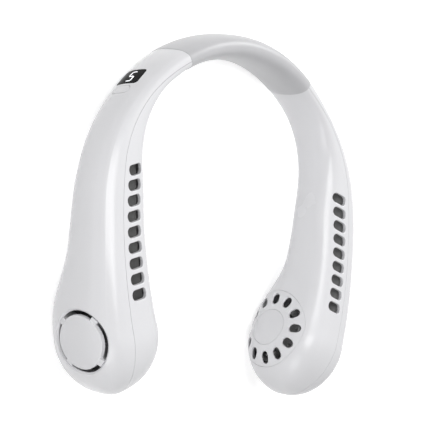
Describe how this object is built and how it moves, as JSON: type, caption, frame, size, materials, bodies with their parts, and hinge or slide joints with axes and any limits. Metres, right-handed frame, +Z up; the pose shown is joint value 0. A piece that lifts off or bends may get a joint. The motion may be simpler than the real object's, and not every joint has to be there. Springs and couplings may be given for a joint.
{
  "type": "electric neck fan",
  "caption": "U-shaped wearable neck fan: a flexible soft band joins hollow arms with slanted air outlets, ending in bulbs with a grille, an intake cap and a spinning impeller inside.",
  "frame": {"origin": "under the middle of the whole fan, on the surface it lies on", "axes": "+Z up, the way the air outlets face when the fan lies on a table; +X to the wearer's left arm; +Y towards the band at the back of the neck, so the U opens towards -Y"},
  "size_m": [0.1998, 0.1852, 0.0492],
  "materials": {
    "white_shell": "satin gloss moulded plastic",
    "white_inside": "plain moulded plastic",
    "grey_cap": "satin moulded plastic",
    "white_badge": "satin gloss moulded plastic",
    "dark_inside": "matt dark grey plastic",
    "dark_impeller": "matt dark grey plastic",
    "battery_foil": "laminated foil pouch",
    "bronze_bush": "sintered bronze",
    "stator_core": "enamelled windings on a laminated core",
    "magnet": "bonded magnet",
    "steel": "plain steel",
    "spring_steel": "blued spring strip",
    "grey_silicone": "soft matt silicone",
    "wire_red": "insulated stranded wire",
    "wire_black": "insulated stranded wire",
    "wire_white": "insulated stranded wire",
    "black_window": "glossy smoked plastic",
    "display_digits": "dark digit module",
    "board_green": "solder mask",
    "switch_black": "moulded switch body",
    "white_button": "satin gloss moulded plastic"
  },
  "bodies": {
    "band": {"band_sleeve": "grey_silicone", "band_core": "spring_steel", "band_wire_1": "wire_red", "band_wire_2": "wire_black", "band_wire_3": "wire_white", "band_wire_4": "wire_white"},
    "left_arm": {"left_outer_shell": "white_shell", "left_inner_shell": "white_shell", "left_band_coupler": "white_inside", "left_intake_cap": "grey_cap", "left_grille": "white_shell", "left_grille_badge": "white_badge", "left_air_duct": "dark_inside", "left_battery_cell": "battery_foil", "left_fan_frame": "dark_inside", "left_motor_bearing": "bronze_bush", "left_motor_stator": "stator_core", "left_motor_screw_1": "steel", "left_motor_screw_2": "steel", "left_motor_screw_3": "steel"},
    "right_arm": {"right_outer_shell": "white_shell", "right_inner_shell": "white_shell", "right_band_coupler": "white_inside", "right_intake_cap": "grey_cap", "right_grille": "white_shell", "right_grille_badge": "white_badge", "right_air_duct": "dark_inside", "right_battery_cell": "battery_foil", "right_fan_frame": "dark_inside", "right_motor_bearing": "bronze_bush", "right_motor_stator": "stator_core", "right_motor_screw_1": "steel", "right_motor_screw_2": "steel", "right_motor_screw_3": "steel", "display_window": "black_window", "display_module": "display_digits", "control_board": "board_green", "button_switch": "switch_black", "charging_socket": "steel"},
    "left_rotor": {"left_impeller": "dark_impeller", "left_rotor_shaft": "steel", "left_rotor_magnet": "magnet"},
    "right_rotor": {"right_impeller": "dark_impeller", "right_rotor_shaft": "steel", "right_rotor_magnet": "magnet"},
    "power_button": {"power_button": "white_button"}
  },
  "joints": [
    {"name": "left_arm_spread", "type": "hinge", "parent": "band", "child": "left_arm", "pos_m": [0.02396, 0.08267, 0.01535], "axis": [0, 0, 1], "range_deg": [-8, 15], "stiffness_Nm_per_rad": 1.3, "deforming": ["band_sleeve", "band_core", "band_wire_1", "band_wire_2", "band_wire_3", "band_wire_4"]},
    {"name": "right_arm_spread", "type": "hinge", "parent": "band", "child": "right_arm", "pos_m": [-0.02396, 0.08267, 0.01535], "axis": [0, 0, -1], "range_deg": [-8, 15], "stiffness_Nm_per_rad": 1.3, "deforming": ["band_sleeve", "band_core", "band_wire_1", "band_wire_2", "band_wire_3", "band_wire_4"]},
    {"name": "left_fan_spin", "type": "hinge", "parent": "left_arm", "child": "left_rotor", "pos_m": [0.07341, -0.06234, 0.02405], "axis": [0.9412, -0.2648, 0.2096], "continuous": true},
    {"name": "right_fan_spin", "type": "hinge", "parent": "right_arm", "child": "right_rotor", "pos_m": [-0.07341, -0.06234, 0.02405], "axis": [-0.9412, -0.2648, 0.2096], "continuous": true},
    {"name": "power_button_press", "type": "slide", "parent": "right_arm", "child": "power_button", "axis": [0.8056, -0.5925, 0], "range_m": [0, 0.0005], "stiffness_N_per_m": 2000}
  ]
}
